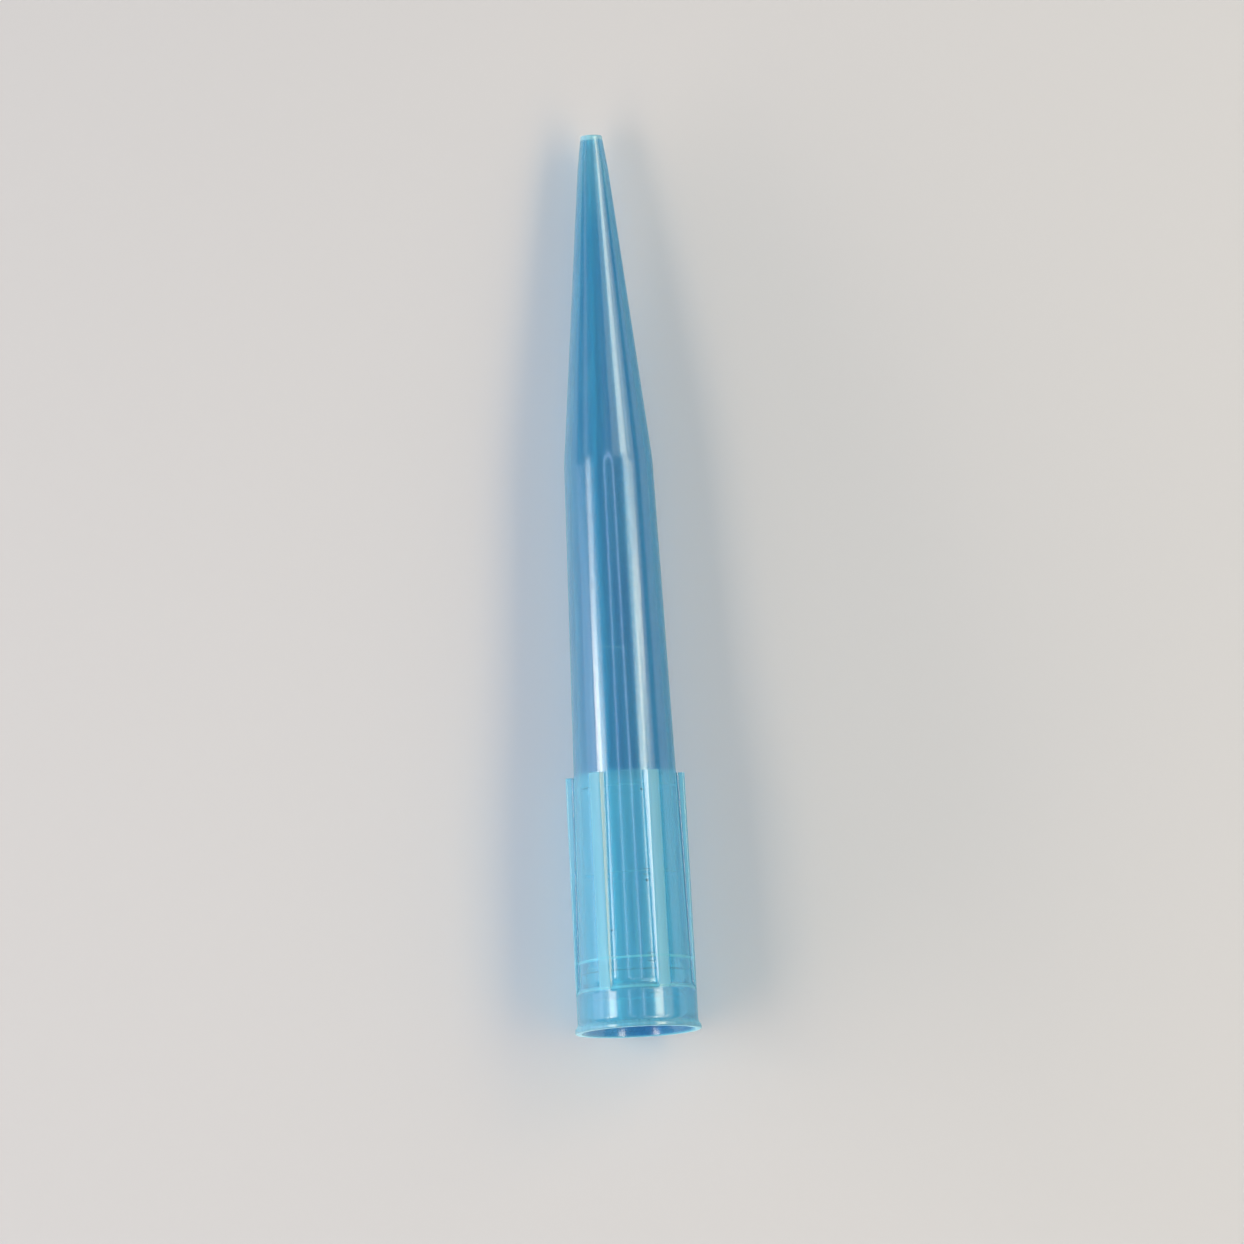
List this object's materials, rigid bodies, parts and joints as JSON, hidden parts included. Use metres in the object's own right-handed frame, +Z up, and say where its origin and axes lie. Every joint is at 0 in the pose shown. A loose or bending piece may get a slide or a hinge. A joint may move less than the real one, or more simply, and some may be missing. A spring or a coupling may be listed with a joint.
{
  "type": "pipette tip",
  "caption": "Ribbed translucent blue pipette tip with a flared mouth, two inner sealing ridges and a fine conical nose, for drawing up and dispensing liquid.",
  "frame": {"origin": "centre of the bounding box at its base, on the surface that the tip lies on", "axes": "+Z up; the tip's length runs along Y, narrow end towards +Y and open mouth towards -Y; its own axis dips 1.9 degrees towards +Y because it lies on its rim and its knee; X is across it"},
  "size_m": [0.01, 0.0712, 0.0099],
  "materials": {
    "moulded_polypropylene": "clear blue tinted moulded polypropylene, slightly milky, smooth and glossy"
  },
  "bodies": {
    "root": {"pipette_tip": "moulded_polypropylene"}
  },
  "joints": []
}
